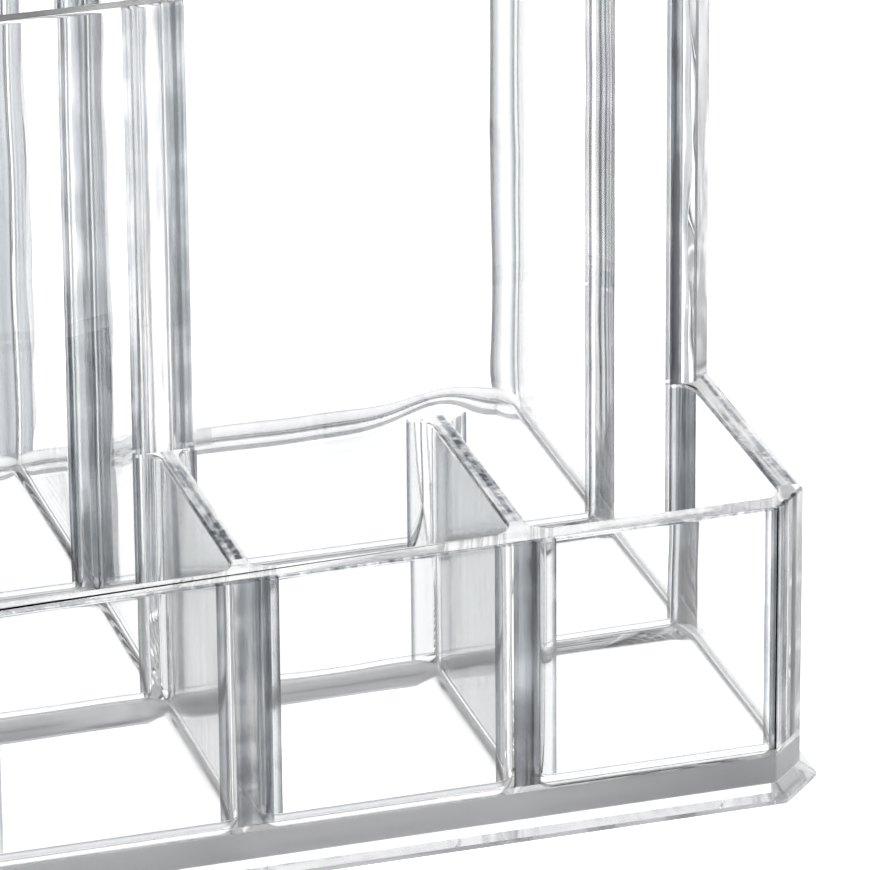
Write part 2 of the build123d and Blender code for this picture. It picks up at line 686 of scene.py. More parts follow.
@dataclass(frozen=True)
class ClearPlastic:
    """A clear moulded plastic with faint waves, a cool tint and handling haze.

    The tint goes from clear over a mid grey to near black with the depth of painted shade, which
    paints shade and streaks into the colour. Depths and reaches of waves and swells are in metres.
    """

    name: str
    tint: tuple[float, float, float]
    painted_shade_tint: tuple[float, float, float]
    painted_half_shade_tint: tuple[float, float, float] = (0.194, 0.212, 0.232)
    ior: float = 1.49
    # Upright streaks and patches that break up the painted shade
    shade_streaks: Mottle = Mottle((0.35, 1.25), (1500.0, 1500.0, 14.0), 3.0, (0.3, 0.7))
    patches: Mottle = Mottle((0.45, 1.15), (140.0, 140.0, 140.0), 3.0, (0.35, 0.65), 0.3)
    haze: Mottle = Mottle((0.0, 0.03), (220.0, 220.0, 220.0), 4.0, (0.35, 0.75))
    least_shade_streaks: float = 0.3
    root_haze: float = 0.2
    # Painted streaks of reflection along the rims
    rim_scale: tuple[float, float] = (1300.0, 45.0)
    rim_detail: float = 1.0
    rim_window: tuple[float, float] = (0.36, 0.62)
    rim_values: tuple[float, float] = (0.15, 1.3)
    wave_scale: float = 60.0
    wave_detail: float = 0.5
    wave_depth: float = 0.0003
    swell_depth: float = 0.0008
    swell_reach: float = 0.0048
    swell_limit: float = 0.2

    def material(self) -> bpy.types.Material:
        """Build the plastic: glass with painted shade in its tint, varied roughness and waves.

        Returns:
            The new material.
        """
        material = bpy.data.materials.new(self.name)
        material.use_nodes = True
        wiring = Wiring(material.node_tree)
        place = wiring.add("TexCoord", {}).outputs["Object"]
        depth = wiring.layer("root_depth")
        blur = wiring.math("MULTIPLY_ADD", depth, self.root_haze, wiring.mottled(place, self.haze))
        wiring.feed(material.node_tree.nodes["Principled BSDF"], {
            "Transmission Weight": 1.0,
            "IOR": self.ior,
            "Base Color": self.colour(wiring, place, depth),
            "Roughness": wiring.math("ADD", blur, wiring.layer("frost")),
            "Normal": self.waves(wiring, place, depth),
        })
        return material

    def colour(self, wiring: Wiring, place: Socket, depth: Socket) -> Socket:
        """Painted shade: the tint darkened by its depth, broken up by upright streaks, patches and the rims'
        painted streaks.

        Args:
            wiring: the material's nodes.
            place: the object's own coordinates, in metres.
            depth: the depth of painted shade.

        Returns:
            The socket that carries the colour.
        """
        patchy = wiring.layer("patchy")
        patches = wiring.blend(patchy, wiring.mottled(place, self.patches))
        along = wiring.math("MULTIPLY", patches, self.painted_rim_streaks(wiring, place))
        share = wiring.math("ADD", patchy, self.least_shade_streaks, clamp=True)
        mottle = wiring.math("MULTIPLY", wiring.blend(share, wiring.mottled(place, self.shade_streaks)), along)
        # Painted shade: the tint runs from clear to near black as the depth of painted shade grows
        ramp = wiring.add("ValToRGB", {"Fac": wiring.math("MULTIPLY", depth, mottle)})
        stops = ramp.color_ramp.elements
        stops[0].color = (*self.tint, 1.0)
        stops[1].color = (*self.painted_shade_tint, 1.0)
        stops.new(0.5).color = (*self.painted_half_shade_tint, 1.0)
        return ramp.outputs["Color"]

    def painted_rim_streaks(self, wiring: Wiring, place: Socket) -> Socket:
        """Painted streaks of reflection that run along a rim, as a factor on the depth of painted shade.

        Args:
            wiring: the material's nodes.
            place: the object's own coordinates, in metres.

        Returns:
            The socket that carries the factor, 1 away from the rims.
        """
        fine, long = self.rim_scale
        run = wiring.layer("rim_run")
        turned = wiring.add("Mix", {0: wiring.math("LESS_THAN", run, 0.0),
                                    4: wiring.stretched(place, (fine, long, long)),
                                    5: wiring.stretched(place, (long, fine, long))}, data_type="VECTOR")
        noise = wiring.noise(turned.outputs[1], self.rim_detail)
        streaks = wiring.spread(noise, self.rim_window, self.rim_values)
        return wiring.blend(wiring.math("ABSOLUTE", run), streaks)

    def waves(self, wiring: Wiring, place: Socket, depth: Socket) -> Socket:
        """Faint waves all over, and a swell in the flat step wall at the outer dividers' joints.

        At a distance d from the nearer joint the swell is exp(-(d / reach)^2).

        Args:
            wiring: the material's nodes.
            place: the object's own coordinates, in metres.
            depth: the depth of painted shade.

        Returns:
            The socket that carries the normal.
        """
        step = wiring.math
        axes = wiring.add("SeparateXYZ", {"Vector": place}).outputs
        from_line = step("SUBTRACT", step("ABSOLUTE", axes["X"]), SIZES.cell_pitch * MM)
        beside = step("DIVIDE", from_line, self.swell_reach)
        above = step("DIVIDE", step("SUBTRACT", axes["Z"], SIZES.front_rim * MM), self.swell_reach)
        spread = step("MULTIPLY_ADD", beside, beside, step("MULTIPLY", above, above))
        swell = step("EXPONENT", step("MULTIPLY", spread, -1.0))
        on_wall = step("COMPARE", axes["Y"], SIZES.step.line * MM, SIZES.cove * MM)
        on_flat = step("MULTIPLY", on_wall, step("LESS_THAN", depth, self.swell_limit))
        scale = (self.wave_scale, self.wave_scale, self.wave_scale)
        waves = wiring.noise(wiring.stretched(place, scale), self.wave_detail)
        waved = wiring.bump(waves, self.wave_depth)
        return wiring.bump(step("MULTIPLY", swell, on_flat), self.swell_depth, waved)


@dataclass(frozen=True)
class WeldFilm:
    """The clear joint between two bonded panels, which light passes unbent."""

    name: str = "weld_film"

    def material(self) -> bpy.types.Material:
        """Build the film as a fully open surface.

        Returns:
            The new material.
        """
        material = bpy.data.materials.new(self.name)
        material.use_nodes = True
        material.node_tree.nodes["Principled BSDF"].inputs["Alpha"].default_value = 0.0
        return material


# The second colour of each plastic is the near black of the deepest painted shade
WALL_PLASTIC = ClearPlastic("clear_wall_plastic", (0.985, 0.988, 0.99), (0.008, 0.009, 0.011))
BASE_PLASTIC = ClearPlastic("clear_base_plastic", (0.98, 0.985, 0.988), (0.012, 0.014, 0.016),
                            shade_streaks=Mottle((0.94, 1.04), (120.0, 120.0, 120.0), 3.0, (0.3, 0.7)),
                            patches=Mottle((0.95, 1.04), (140.0, 140.0, 140.0), 3.0, (0.35, 0.65), 0.3),
                            root_haze=0.1, wave_depth=0.00003)


@dataclass
class Workshop:
    """The finishes in use and the pieces that are done."""

    plastics: dict[Slot, bpy.types.Material]
    film: bpy.types.Material
    pieces: list[bpy.types.Object] = field(default_factory=list)

    def add(self, shell: Shell, name: str, slot: Slot) -> None:
        """Turn a shell into a piece that stands for its CAD node.

        Args:
            shell: the gathered faces.
            name: the CAD node's name.
            slot: the record's material slot.
        """
        piece = shell.object(f"{name}_clear", [self.plastics[slot], self.film])
        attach(piece, "root")
        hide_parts(name)
        self.pieces.append(piece)
        log.info("%s: %d faces", piece.name, len(piece.data.polygons))


@dataclass
class Panel:
    """A wall of one plan, from the kerb to its rim."""

    name: str
    outline: Outline
    height: float
    run: Run
    shade_and_frost: RimShadeAndFrost = TALL_RIM
    sizes: Sizes = SIZES

    def add_upper(self, shell: Shell, foot: float) -> None:
        """Carry the outline from a height up to the rim and close the top.

        Args:
            shell: where the faces go.
            foot: the height to start at.
        """
        shell.add_sweep(self.outline, Profile.to_rim(foot, self.height), self.shade_and_frost, self.run)
        # The rim's flat top carries painted shade and painted streaks
        shell.add_cap(self.outline.inset(self.sizes.rim_round), self.height, True, Role.CLEAR, patchy=1.0,
                      root_depth=self.shade_and_frost.top_depth, rim_run=self.run.value, frost=self.shade_and_frost.frost)

    def build(self, shop: Workshop) -> None:
        """Build the wall and close its foot.

        Args:
            shop: where the piece is added.
        """
        shell = Shell()
        shell.add_cap(self.outline.points, self.sizes.wall_foot, False, Role.WELD)
        self.add_upper(shell, self.sizes.wall_foot)
        shop.add(shell, self.name, Slot.WALL)


class Ledge(NamedTuple):
    """A flat end of a root at the front rim: its loop, its depth of painted shade and its painted streaks."""

    points: np.ndarray
    depth: float
    run: Run


@dataclass(kw_only=True)
class SteppedPanel(Panel):
    """A tall wall whose roots for the front row end at the front rim in ledges."""

    low: Outline
    ledges: list[Ledge]
    # Depth of the painted dark line along the rounded edge of the low rim
    ledge_line: float

    def build(self, shop: Workshop) -> None:
        """Carry the low outline to the front rim, lay the ledges, and carry the upper one on.

        Args:
            shop: where the piece is added.
        """
        foot, rim = self.sizes.wall_foot, self.sizes.front_rim
        shell = Shell()
        shell.add_cap(self.low.points, foot, False, Role.WELD)
        shell.add_sweep(self.low, Profile.to_rim(foot, rim), RimShadeAndFrost(0.0, self.ledge_line), Run.ALONG_Y)
        for points, depth, run in self.ledges:
            shell.add_cap(points, rim, True, Role.CLEAR, root_depth=depth,
                          patchy=run.value, rim_run=run.value)
        self.add_upper(shell, rim)
        shop.add(shell, self.name, Slot.WALL)


@dataclass
class FrontRow:
    """The low row of small cells: front wall, side walls and dividers."""

    sizes: Sizes = SIZES
    # Depths of painted shade on coves, the front rim, divider faces, strips below the dividers and the
    # chamfers' stripes
    cove: CoveShade = CoveShade(0.62, 0.15)
    outer_cove_body: float = 0.2
    front_rim_shade: RimShadeAndFrost = RimShadeAndFrost(0.25, 0.6)
    divider_depth: float = 0.33
    patchiness: float = 0.7
    centre_strip: ShadeStrip = ShadeStrip(-1.9, 1.9, 0.7)
    outer_strip: ShadeStrip = ShadeStrip(-1.8, 1.0, 1.15)
    end_strip: ShadeStrip = ShadeStrip(0.05, 0.85, 0.9)
    chamfer_stripe_shares: tuple[float, ...] = (0.0, 0.2, 0.38, 0.55, 0.75)
    chamfer_stripe_depths: tuple[float, ...] = (0.6, 1.3, 0.3, 1.2, 0.5)

    def on_front(self, line: float, strip: ShadeStrip) -> list[Corner]:
        """The two corners of a strip of painted shade on the front face."""
        face = self.sizes.front.near
        return [Corner(line + strip.low, face, depth=strip.depth), Corner(line + strip.high, face)]

    def right_end(self) -> list[Corner]:
        """Corners round the front wall's right end, with a strip of painted shade beside its chamfer, which
        carries painted dark stripes.

        Returns:
            The corners, from the front face to the side face.
        """
        s = self.sizes
        corners = self.on_front(s.side.near_bond, self.end_strip)
        for share, depth in zip(self.chamfer_stripe_shares, self.chamfer_stripe_depths):
            x, y = s.side.far - s.chamfer * (1 - share), s.front.near + s.chamfer * share
            corners.append(Corner(x, y, 0.0 if share else s.corner_round, depth=depth))
        return [*corners, Corner(s.side.far, s.front.near + s.chamfer, s.corner_round)]

    def front_wall_outline(self) -> Outline:
        """Plan of the front wall with chamfered returns and divider roots.

        Returns:
            The outline, cut at the bond line.
        """
        s = self.sizes
        end = s.front.far_bond - s.half_film
        right_end = self.right_end()
        corners = mirrored([Corner(0.0, s.front.near), *right_end])[:-1]
        for bar in s.dividers:
            corners += self.on_front(bar.line, self.outer_strip if bar.line else self.centre_strip)
        corners += [*right_end, Corner(s.side.far, end, bonded=True), Corner(s.side.near, end),
                    Corner(s.side.near, s.front.far, s.cove)]
        for bar in s.dividers[::-1]:
            corners += root(bar, s.front.far, end, self.outer_cove_body if bar.line else None)
        corners += [Corner(-s.side.near, s.front.far, s.cove), Corner(-s.side.near, end, bonded=True),
                    Corner(-s.side.far, end)]
        return Outline.from_corners(corners, self.cove, self.patchiness, high=(math.inf, end))

    def bar_outline(self, bar: Wall) -> Outline:
        """Plan of a plain bar between the front and step roots, bonded at both ends.

        Args:
            bar: the bar.

        Returns:
            The outline.
        """
        s = self.sizes
        near, far = s.front.far_bond + s.half_film, s.step.near_bond - s.half_film
        # Painted grey shade on the faces of the dividers
        depth = self.divider_depth if bar in s.dividers else 0.0
        corners = [Corner(bar.near, near, bonded=True), Corner(bar.far, near),
                   Corner(bar.far, far, bonded=True), Corner(bar.near, far)]
        return Outline.from_corners([corner._replace(depth=depth) for corner in corners])

    def build(self, shop: Workshop) -> None:
        """Build the front wall, then the bars from left to right.

        Args:
            shop: where the pieces are added.
        """
        rim = self.sizes.front_rim
        Panel("front_wall", self.front_wall_outline(), rim, Run.ALONG_X, self.front_rim_shade).build(shop)
        names = ("left_front_side_wall", "left_front_divider", "centre_front_divider",
                 "right_front_divider", "right_front_side_wall")
        for name, bar in zip(names, self.sizes.bars):
            Panel(name, self.bar_outline(bar), rim, Run.ALONG_Y, BAR_RIM).build(shop)


@dataclass
class TallBlock:
    """The tall two by two block of wide cells behind the front row.

    A rise is the length over which a ledge's rounded edge comes up, and a fade the length of the
    painted soft shade beside a corner.
    """

    sizes: Sizes = SIZES
    # Depths of painted shade on coves, chamfers, strips, ledges and the fades beside corners
    cove: CoveShade = CoveShade(0.8, 0.2)
    step_cove: CoveShade = CoveShade(0.2, 0.12)
    back_cove: CoveShade = CoveShade(0.22, 0.3)
    corner_cove_body: float = 1.0
    spine_back_body: float = 0.8
    chamfer_depth: float = 0.25
    spine_strip_depth: float = 0.42
    corner_strip_depth: float = 1.25
    corner_strip_width: float = 1.3
    corner_ledge_depth: float = 0.8
    divider_ledge_line: float = 0.3
    step_patchiness: float = 0.8
    side_patchiness: float = 0.5
    spine_patchiness: float = 0.7
    fade_depth: float = 0.3
    step_fade: float = 1.8
    side_fade: float = 12.0
    spine_fade: float = 9.0
    cove_rise_share: float = 0.3
    outer_rise: float = 0.8
    past_root_share: float = 1.5
    chamfer_margin: float = 0.3

    @property
    def bar_top(self) -> float:
        """Half the width of a divider's flat top."""
        return self.sizes.spine.far - self.sizes.rim_round

    @property
    def side_root(self) -> float:
        """Line where the right side wall's roots end."""
        return self.sizes.side.near_bond + self.sizes.half_film

    @property
    def side_start(self) -> float:
        """Front end of the side walls."""
        return self.sizes.step.near_bond + self.sizes.half_film

    @property
    def side_turn(self) -> float:
        """Line where the step chamfer meets the side face."""
        return self.sizes.step.near + self.sizes.step_chamfer

    def cove_weights(self, along: np.ndarray) -> np.ndarray:
        """Weights that rise from 0 at the step face to 1 a little way into the front row."""
        return np.clip((self.sizes.step.near - along) / (self.cove_rise_share * self.sizes.cove), 0.0, 1.0)

    def step_wall_outline(self, tall: bool) -> Outline:
        """Plan of the step wall, with divider roots below the front rim and strips of painted shade above it.

        Both plans have the same points beside the roots, so that the two heights meet closed.

        Args:
            tall: whether the plan is that above the front rim.

        Returns:
            The outline, cut at the bond lines.
        """
        s = self.sizes
        end, face, reach, top = s.side.near_bond - s.half_film, s.step.near, s.spine.far_bond, self.bar_top
        fade = faded((end - self.step_fade, face), (end, face), 0.0, self.fade_depth if tall else 0.0)
        corners = mirrored([*fade, Corner(end, face)])
        for bar in s.dividers:
            if tall:
                depth = 0.0 if bar.line else self.spine_strip_depth
                corners += [Corner(bar.line + offset, face, depth=depth) for offset in (-reach, -top, top)]
                corners.append(Corner(bar.line + reach, face, depth=depth / 2))
            else:
                corners += root(bar, face, s.step.near_bond)
            corners.append(Corner(bar.line + self.past_root_share * reach, face))
        corners += [*fade, Corner(end, face, bonded=True), Corner(end, s.step.far),
                    *root(s.spine, s.step.far, s.step.far_bond), Corner(-end, s.step.far, bonded=True)]
        if tall:
            return Outline.from_corners(corners, self.cove, self.step_patchiness)
        return Outline.from_corners(corners, self.step_cove)

    def step_wall(self) -> SteppedPanel:
        """The wall behind the front cells, with a ledge in three parts on each divider root.

        Returns:
            The panel.
        """
        s = self.sizes
        low = self.step_wall_outline(False)
        across, along = low.points.T
        low.weights = self.cove_weights(along)
        rim = low.inset(s.rim_round)
        ledges: list[Ledge] = []
        for line in (bar.line for bar in s.dividers):
            chain = rim[(np.abs(across - line) < s.spine.far_bond + TINY) & (along < s.step.near + TINY)]
            left, right = chain[chain[:, 0] < line], chain[chain[:, 0] > line]
            back = np.array([[line + self.bar_top, s.step.near], [line - self.bar_top, s.step.near]])
            middle = np.concatenate([left[-1:], right[:1], back])
            ledges += [Ledge(np.concatenate([left, back[1:]]), 0.0, Run.ALONG_Y),
                       Ledge(np.concatenate([right, back[:1]]), 0.0, Run.ALONG_Y),
                       Ledge(middle, BAR_RIM.top_depth, Run.ALONG_Y)]
        return SteppedPanel("step_wall", self.step_wall_outline(True), s.tall_rim, Run.ALONG_X,
                            low=low, ledges=ledges, ledge_line=self.divider_ledge_line)

    def rear_side_corners(self) -> tuple[list[Corner], list[Corner]]:
        """Corners of the right side wall below and above the front rim.

        Returns:
            The low corners, starting at the front end, and the high corners, starting at the
            step wall's root.
        """
        s, end, turn = self.sizes, self.side_root, self.side_turn
        stop = s.back.near_bond - s.half_film
        ease = s.corner_round * math.tan(math.pi / 8)
        fade_end = (s.side.near, stop - self.side_fade)
        inner = [Corner(s.side.far, stop, bonded=True),
                 *faded((s.side.near, stop), fade_end, self.fade_depth, 0.0), Corner(*fade_end),
                 *cross_root(s.middle, s.side.near, end),
                 Corner(s.side.near, s.step.far, s.cove, body=self.corner_cove_body),
                 Corner(end, s.step.far, bonded=True)]
        low = [Corner(s.side.near, self.side_start, bonded=True), Corner(s.side.far, self.side_start),
               Corner(s.side.far, turn - self.outer_rise), Corner(s.side.far, turn + ease), *inner,
               Corner(end, s.step.near), Corner(s.side.near, s.step.near, s.cove)]
        # A strip of painted shade beside the corner above the front rim
        high = [Corner(end, s.step.near, depth=self.corner_strip_depth),
                Corner(end + self.corner_strip_width, s.step.near),
                Corner(s.side.far - s.step_chamfer, s.step.near, s.corner_round, depth=self.chamfer_depth),
                Corner(s.side.far, turn, s.corner_round), *inner]
        return low, high

    def side_ledges(self, low: Outline, high: Outline, side: int) -> list[Ledge]:
        """Ledge of a side wall between its low rim and its tall chamfer, in two parts.

        Args:
            low: the plan below the front rim.
            high: the plan above it.
            side: -1 for the left wall, 1 for the right one.

        Returns:
            The part on the step wall's root, then the part on the low side wall's rim.
        """
        s = self.sizes

        def stretch(points: np.ndarray, wanted: np.ndarray) -> np.ndarray:
            """The one run of wanted points, in order."""
            first = int(np.flatnonzero(wanted & ~np.roll(wanted, 1))[0])
            return np.roll(points, -first, axis=0)[: int(wanted.sum())]

        across, along = side * low.points[:, 0], low.points[:, 1]
        outside = (across > s.side.line) & (along < self.side_turn + s.corner_round)
        front = stretch(low.inset(s.rim_round), (along < s.step.near + TINY) | outside)
        across, along = side * high.points[:, 0], high.points[:, 1]
        cut = s.step.near + np.maximum(0.0, across - s.side.far + s.step_chamfer)
        chain = stretch(high.points, np.abs(along - cut) < self.chamfer_margin)
        loop = np.concatenate([front, chain[::-1][1:-1]])
        strip_end = np.array([side * (self.side_root + self.corner_strip_width), s.step.near])
        cove_end = np.array([side * (s.side.near + s.rim_round), s.step.near - s.cove])
        near, far = sorted(int(np.hypot(*(loop - place).T).argmin()) for place in (strip_end, cove_end))
        parts = [loop[near: far + 1], np.concatenate([loop[far:], loop[: near + 1]])]
        if np.abs(parts[0][:, 0]).min() > np.abs(parts[1][:, 0]).min():
            parts.reverse()
        return [Ledge(parts[0], self.corner_ledge_depth, Run.NONE),
                Ledge(parts[1], BAR_RIM.top_depth, Run.ALONG_Y)]

    def rear_side_wall(self, name: str, side: int) -> SteppedPanel:
        """One tall side wall with the roots of the step and mid walls.

        Args:
            name: the CAD node's name.
            side: -1 for the left wall, 1 for the right one.

        Returns:
            The panel.
        """
        s = self.sizes
        least = (self.side_root if side > 0 else -math.inf, self.side_start)
        most = (math.inf if side > 0 else -self.side_root, math.inf)
        plans = [corners if side > 0 else mirrored(corners) for corners in self.rear_side_corners()]
        low, high = (Outline.from_corners(plan, self.cove, self.side_patchiness, least, most)
                     for plan in plans)
        across, along = side * low.points[:, 0], low.points[:, 1]
        outer_weights = np.clip((self.side_turn - along) / self.outer_rise, 0.0, 1.0)
        low.weights = np.where(across > s.side.line, outer_weights, self.cove_weights(along))
        ledges = self.side_ledges(low, high, side)
        return SteppedPanel(name, high, s.tall_rim, Run.ALONG_Y, low=low, ledges=ledges,
                            ledge_line=BAR_RIM.line_depth)

    def back_wall_outline(self) -> Outline:
        """Plan of the back wall with chamfered returns and the spine's root.

        Returns:
            The outline, cut at the bond line.
        """
        s = self.sizes
        end = s.back.near_bond + s.half_film
        right = [Corner(s.side.near, s.back.near, s.cove), Corner(s.side.near, end, bonded=True),
                 Corner(s.side.far, end),
                 Corner(s.side.far, s.back.far - s.chamfer, s.corner_round, depth=self.chamfer_depth),
                 Corner(s.side.far - s.chamfer, s.back.far, s.corner_round)]
        spine = root(s.spine, s.back.near, end, self.spine_back_body)
        return Outline.from_corners([*right, *mirrored(right), *spine], self.back_cove, low=(-math.inf, end))

    def spine_outline(self) -> Outline:
        """Plan of the spine with the roots of both mid walls.

        Returns:
            The outline, cut at the bond lines.
        """
        s = self.sizes
        reach, fade = s.spine.far_bond - s.half_film, s.middle.near - s.cove
        # A fade of painted shade along the spine towards the mid walls' roots
        shade = faded((s.spine.far, fade - self.spine_fade), (s.spine.far, fade), 0.0, self.fade_depth)
        right = [Corner(s.spine.far, s.step.far_bond + s.half_film), *shade,
                 *cross_root(s.middle, s.spine.far, reach),
                 Corner(s.spine.far, s.back.near_bond - s.half_film, bonded=True)]
        return Outline.from_corners([*right, *mirrored(right)], self.cove, self.spine_patchiness,
                                    (-reach, -math.inf), (reach, math.inf))

    def mid_wall_outline(self, side: int) -> Outline:
        """Plan of one mid wall, bonded at both ends.

        Args:
            side: -1 for the left wall, 1 for the right one.

        Returns:
            The outline.
        """
        s = self.sizes
        low, high = sorted((side * (s.spine.far_bond + s.half_film), side * (s.side.near_bond - s.half_film)))
        return Outline.from_corners([Corner(low, s.middle.near), Corner(high, s.middle.near, bonded=True),
                                     Corner(high, s.middle.far), Corner(low, s.middle.far, bonded=True)])

    def build(self, shop: Workshop) -> None:
        """Build the tall panels from the step to the back.

        Args:
            shop: where the pieces are added.
        """
        rim = self.sizes.tall_rim
        sides = {"left": -1, "right": 1}
        self.step_wall().build(shop)
        for name, side in sides.items():
            self.rear_side_wall(f"{name}_rear_side_wall", side).build(shop)
        Panel("back_wall", self.back_wall_outline(), rim, Run.ALONG_X).build(shop)
        Panel("centre_spine", self.spine_outline(), rim, Run.ALONG_Y).build(shop)
        for name, side in sides.items():
            Panel(f"{name}_mid_wall", self.mid_wall_outline(side), rim, Run.ALONG_X).build(shop)


@dataclass
class BaseTray:
    """The floor with a coved well under every cell, on a hollow skirt that flares to the table.

    The front and back of a band or a cove show their full depth of painted shade. Its left and
    right sides show the side share of it, and are frosted instead, so the painted shade depends on
    which way a face looks.
    """

    sizes: Sizes = SIZES
    # Painted shade and frost of the tray's bands, and painted dark lines along the floor coves
    plain: BandShadeAndFrost = BandShadeAndFrost()
    lip: BandShadeAndFrost = BandShadeAndFrost(0.3)
    kerb: BandShadeAndFrost = BandShadeAndFrost(0.24, 0.5)
    kerb_edge: BandShadeAndFrost = BandShadeAndFrost(0.05, 0.1)
    kerb_edge_height: float = 0.7
    corner_share: float = 0.3
    band_side_share: float = 0.4
    side_frost: float = 0.5
    side_frost_power: int = 4
    floor_line: float = 0.6
    floor_line_width: float = 0.09
    cove_side_share: float = 0.1
    side_curved_share: float = 0.5
    centre_front_floor: FloorShadeAndFrost = FloorShadeAndFrost(0.25, 0.3, 1.0)
    other_floor: FloorShadeAndFrost = FloorShadeAndFrost(0.06, 0.08, 0.5)

    def footprint(self, grow: float) -> Outline:
        """The chamfered footprint, moved outwards on every side.

        Args:
            grow: how far it is moved.

        Returns:
            The outline.
        """
        s = self.sizes
        x, y, r = s.side.far + grow, s.back.far + grow, s.corner_round
        leg = s.chamfer + grow * (2 - math.sqrt(2))
        right = [Corner(x - leg, -y, r), Corner(x, leg - y, r), Corner(x, y - leg, r), Corner(x - leg, y, r)]
        return Outline.from_corners([*right, *mirrored(right)])

    def wells(self) -> list[Outline]:
        """The rounded inside of every cell at the kerb.

        Returns:
            Four outlines of the front row and two of each row behind it, from left to right.
        """
        s = self.sizes
        bars, r = s.bars, s.cove
        found = []
        for span, near, far in ((1, s.front.far, s.step.near), (2, s.step.far, s.middle.near),
                                (2, s.middle.far, s.back.near)):
            for left_bar, right_bar in zip(bars[:-1:span], bars[span::span]):
                left, right = left_bar.far, right_bar.near
                found.append(Outline.from_corners([Corner(left, near, r), Corner(right, near, r),
                                                   Corner(right, far, r), Corner(left, far, r)]))
        return found

    def add_band(self, shell: Shell, low: Outline, high: Outline, heights: tuple[float, float],
                 tilt: float, shade_and_frost: BandShadeAndFrost) -> None:
        """Join two offset outlines of the same points by one band.

        Args:
            shell: where the faces go.
            low: the first outline.
            high: the second outline.
            heights: their heights.
            tilt: angle of the band's normal above the level.
            shade_and_frost: depth of painted shade at the front and back, and the least frost.
        """
        angles = np.full((2, len(low.points)), tilt)
        start = tilted(np.stack([low.start_normals, high.start_normals]), angles)
        end = tilted(np.stack([low.end_normals, high.end_normals]), angles)
        across, along = np.abs(low.start_normals.T)[:, :, None]
        depths = quads(np.stack([low.start_depths, high.start_depths]),
                       np.stack([low.end_depths, high.end_depths]))
        side_on = shade_and_frost.depth * (self.band_side_share + (1 - self.band_side_share) * along)
        side_frost = self.side_frost * across ** self.side_frost_power
        shell.add_rows(np.stack([low.points, high.points]), np.array(heights), start, end, Role.CLEAR.value,
                       root_depth=np.maximum(self.corner_share * depths, side_on),
                       frost=np.maximum(shade_and_frost.frost, side_frost))

    def add_well(self, shell: Shell, well: Outline, shade_and_frost: FloorShadeAndFrost) -> None:
        """Carry a well's outline down its cove and close it with the floor.

        At angle t the cove lies r sin t below the kerb and is drawn into the cell by
        r(1 - cos t). Its normal starts level, into the cell, and is straight up from a share
        of the cove on, so that the rest of the cove reads as part of the flat floor.

        Args:
            shell: where the faces go.
            well: the outline at the kerb.
            shade_and_frost: look of the cove.
        """
        s = self.sizes
        row = np.linspace(0.0, 1.0, COVE_STEPS + 1)
        turn = row * math.pi / 2

        def shaded(plan: np.ndarray) -> tuple[np.ndarray, np.ndarray, np.ndarray]:
            """Look of every row at one end of the outline's edges.

            Args:
                plan: plan normals at that end, into the cell.

            Returns:
                Normals, depths of painted shade and frost.
            """
            facing = np.abs(plan[:, 1])
            curved_share = self.side_curved_share + (shade_and_frost.curved_share - self.side_curved_share) * facing
            share = row[:, None] / curved_share
            curved = share <= 1.0
            share = np.minimum(share, 1.0)
            depths = lined(share, shade_and_frost.body, self.floor_line, self.floor_line_width)
            depths *= (self.cove_side_share + (1 - self.cove_side_share) * facing) * curved
            return tilted(plan, share * math.pi / 2), depths, shade_and_frost.frost * curved

        start, depth, haze = shaded(-well.start_normals)
        end, depth_after, haze_after = shaded(-well.end_normals)
        rings = well.inset(s.floor_cove * (1 - np.cos(turn)))
        shell.add_rows(rings, s.kerb_top - s.floor_cove * np.sin(turn), start, end, Role.CLEAR.value,
                       root_depth=quads(depth, depth_after), frost=quads(haze, haze_after))
        shell.add_cap(well.inset(s.floor_cove), s.floor_top, True, Role.CLEAR)

    def add_kerb_top(self, shell: Shell, outside: Outline, wells: list[Outline]) -> None:
        """Close the kerbs between the wells with triangles at the wall feet.

        Args:
            shell: where the faces go.
            outside: the footprint.
            wells: the wells.
        """
        loops = [outside.points, *[well.points[::-1] for well in wells]]
        lifted = [np.column_stack([loop, np.full(len(loop), self.sizes.kerb_top)]) for loop in loops]
        index = np.array(tessellate_polygon([loop.tolist() for loop in lifted]), int)
        places = np.concatenate(lifted)
        ahead, across = (places[index[:, k]] - places[index[:, 0]] for k in (1, 2))
        area = ahead[:, 0] * across[:, 1] - ahead[:, 1] * across[:, 0]
        index = np.where((area < 0)[:, None], index[:, ::-1], index)[np.abs(area) > SLIVER_AREA]
        normals = np.broadcast_to(np.array([0.0, 0.0, 1.0]), places[index].shape)
        shell.add_faces(places[index], normals, Role.WELD.value)

    def build(self, shop: Workshop) -> None:
        """Build skirt, kerbs, wells and underside as one closed piece.

        Args:
            shop: where the piece is added.
        """
        s = self.sizes
        shell = Shell()
        skirt, foot, hollow = (self.footprint(grow) for grow in (s.skirt_flare, 0.0, -s.hollow_inset))
        flare = math.atan2(s.skirt_flare, s.flare_top - s.lip_height)
        edge = s.kerb_top - self.kerb_edge_height
        self.add_band(shell, skirt, skirt, (0.0, s.lip_height), 0.0, self.lip)
        self.add_band(shell, skirt, foot, (s.lip_height, s.flare_top), flare, self.plain)
        self.add_band(shell, foot, foot, (s.flare_top, edge), 0.0, self.kerb)
        self.add_band(shell, foot, foot, (edge, s.kerb_top), 0.0, self.kerb_edge)
        self.add_band(shell, hollow, skirt, (0.0, 0.0), -math.pi / 2, self.plain)
        self.add_band(shell, hollow, hollow, (s.floor_underside, 0.0), math.pi, self.plain)
        shell.add_cap(hollow.points, s.floor_underside, False, Role.CLEAR)
        wells = self.wells()
        for well in wells:
            x, y = np.abs(well.points[:, 0].mean()), well.points[:, 1].max()
            centre_front = bool(x < s.cell_pitch and y < s.step.line)
            self.add_well(shell, well, self.centre_front_floor if centre_front else self.other_floor)
        self.add_kerb_top(shell, foot, wells)
        shop.add(shell, "base_tray", Slot.BASE)


